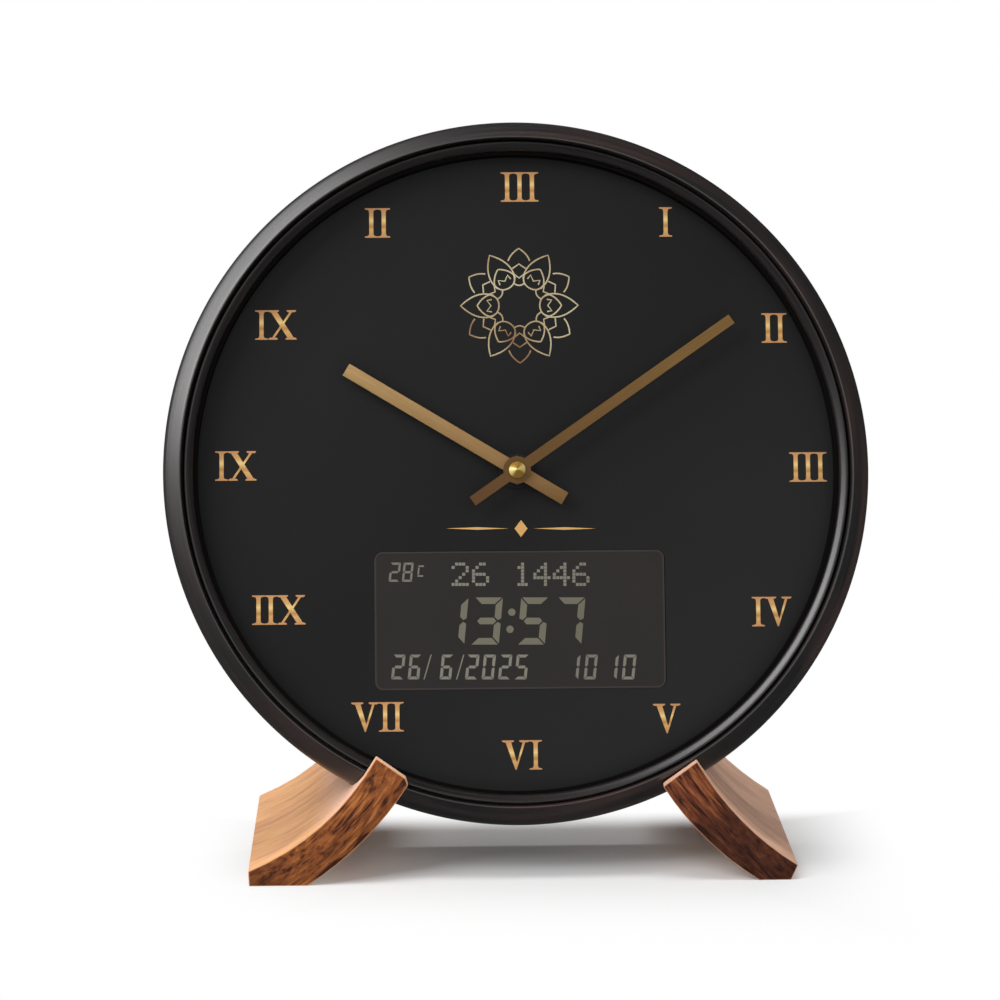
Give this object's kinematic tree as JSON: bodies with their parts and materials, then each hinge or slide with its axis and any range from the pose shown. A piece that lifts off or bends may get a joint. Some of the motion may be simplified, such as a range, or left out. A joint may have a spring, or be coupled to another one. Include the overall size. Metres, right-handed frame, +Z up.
{
  "type": "azan clock",
  "caption": "Round desk clock with hands and a display window in a dark turned frame, leaning in slotted wooden feet.",
  "frame": {"origin": "on the table, below the middle of the object's box", "axes": "+X to the right as seen from the front, +Y to the rear, +Z up; the front faces -Y"},
  "size_m": [0.3, 0.1408, 0.3045],
  "materials": {
    "frame_wood": "dark stained, turned, satin",
    "foot_wood": "brown, sawn and sanded, satin",
    "dial_black": "near black, matte",
    "window_tint": "smoky tint, smooth",
    "display_glass": "thin pane",
    "pale_plastic": "off white, moulded",
    "board_green": "green board",
    "dark_plastic": "black, moulded, fine grain",
    "grey_plastic": "grey, moulded",
    "bright_steel": "plated",
    "cone_paper": "pressed paper",
    "cell_wrap": "printed sleeve, plain",
    "hand_gold": "gold, satin",
    "brass": "turned, bright",
    "soft_black": "matte",
    "copper": "enamelled copper wire"
  },
  "bodies": {
    "clock": {"frame_ring": "frame_wood", "inner_bead": "frame_wood", "dial_plate": "dial_black", "display_lens": "window_tint", "display_cell": "display_glass", "light_guide": "pale_plastic", "display_holder": "pale_plastic", "main_board": "board_green", "rear_cover": "dark_plastic", "dial_spacer": "dark_plastic", "battery_tray": "dark_plastic", "movement_front": "dark_plastic", "movement_back": "dark_plastic", "cover_screw_1": "bright_steel", "cover_screw_2": "bright_steel", "cover_screw_3": "bright_steel", "cover_screw_4": "bright_steel", "cover_screw_5": "bright_steel", "cover_screw_6": "bright_steel", "speaker_basket": "bright_steel", "speaker_magnet": "bright_steel", "tray_contact_left": "bright_steel", "tray_contact_right": "bright_steel", "movement_contact_left": "bright_steel", "movement_contact_right": "bright_steel", "stator": "bright_steel", "speaker_cone": "cone_paper", "tray_battery_1": "cell_wrap", "tray_battery_2": "cell_wrap", "movement_battery": "cell_wrap", "bush_nut": "brass", "bush_washer": "soft_black", "speaker_lead": "soft_black", "battery_lead": "soft_black", "coil": "copper"},
    "minute_work": {"minute_hand": "hand_gold", "hand_cap": "brass", "centre_wheel": "brass"},
    "hour_work": {"hour_hand": "hand_gold", "hour_wheel": "pale_plastic"},
    "motion_work": {"minute_wheel": "pale_plastic"},
    "third_work": {"third_wheel": "pale_plastic"},
    "fourth_work": {"fourth_wheel": "pale_plastic"},
    "knob": {"setting_knob": "pale_plastic"},
    "motor_rotor": {"rotor": "bright_steel"},
    "button_1": {"set_button_1": "grey_plastic"},
    "button_2": {"set_button_2": "grey_plastic"},
    "button_3": {"set_button_3": "grey_plastic"},
    "button_4": {"set_button_4": "grey_plastic"},
    "door": {"battery_door": "dark_plastic"},
    "foot_left": {"left_foot": "foot_wood"},
    "foot_right": {"right_foot": "foot_wood"}
  },
  "joints": [
    {"name": "minute_turn", "type": "hinge", "parent": "clock", "child": "minute_work", "pos_m": [0, 0.00545, 0.1579], "axis": [0, 0.9511, -0.309], "continuous": true},
    {"name": "hour_turn", "type": "hinge", "parent": "clock", "child": "hour_work", "pos_m": [0, 0.00545, 0.1579], "axis": [0, 0.9511, -0.309], "continuous": true},
    {"name": "minute_wheel_turn", "type": "hinge", "parent": "clock", "child": "motion_work", "pos_m": [-0.01052, 0.00663, 0.16154], "axis": [0, 0.9511, -0.309], "continuous": true},
    {"name": "third_wheel_turn", "type": "hinge", "parent": "clock", "child": "third_work", "pos_m": [0.00792, 0.00789, 0.16543], "axis": [0, 0.9511, -0.309], "continuous": true},
    {"name": "fourth_wheel_turn", "type": "hinge", "parent": "clock", "child": "fourth_work", "pos_m": [0, 0.00545, 0.1579], "axis": [0, 0.9511, -0.309], "continuous": true},
    {"name": "knob_turn", "type": "hinge", "parent": "clock", "child": "knob", "pos_m": [-0.02168, 0.00693, 0.16247], "axis": [0, 0.9511, -0.309], "continuous": true},
    {"name": "rotor_turn", "type": "hinge", "parent": "clock", "child": "motor_rotor", "pos_m": [0.0105, 0.00514, 0.15695], "axis": [0, 0.9511, -0.309], "continuous": true},
    {"name": "button_1_press", "type": "slide", "parent": "clock", "child": "button_1", "axis": [0, -0.9511, 0.309], "range_m": [0, 0.0008], "stiffness_N_per_m": 400, "springref_m": -0.0005},
    {"name": "button_2_press", "type": "slide", "parent": "clock", "child": "button_2", "axis": [0, -0.9511, 0.309], "range_m": [0, 0.0008], "stiffness_N_per_m": 400, "springref_m": -0.0005},
    {"name": "button_3_press", "type": "slide", "parent": "clock", "child": "button_3", "axis": [0, -0.9511, 0.309], "range_m": [0, 0.0008], "stiffness_N_per_m": 400, "springref_m": -0.0005},
    {"name": "button_4_press", "type": "slide", "parent": "clock", "child": "button_4", "axis": [0, -0.9511, 0.309], "range_m": [0, 0.0008], "stiffness_N_per_m": 400, "springref_m": -0.0005},
    {"name": "battery_door_slide", "type": "slide", "parent": "clock", "child": "door", "axis": [0, 0.309, 0.9511], "range_m": [0, 0.036]},
    {"name": "left_foot_pull", "type": "slide", "parent": "clock", "child": "foot_left", "axis": [-0.4478, -0.2763, -0.8504], "range_m": [0, 0.025]},
    {"name": "right_foot_pull", "type": "slide", "parent": "clock", "child": "foot_right", "axis": [0.515, -0.2649, -0.8152], "range_m": [0, 0.025]}
  ],
  "couplings": [
    {"joint": "hour_turn", "follows": "minute_turn", "ratio": 0.083333},
    {"joint": "minute_wheel_turn", "follows": "minute_turn", "ratio": -0.33333},
    {"joint": "third_wheel_turn", "follows": "minute_turn", "ratio": -7.5},
    {"joint": "fourth_wheel_turn", "follows": "minute_turn", "ratio": 60},
    {"joint": "knob_turn", "follows": "minute_turn", "ratio": 1}
  ]
}
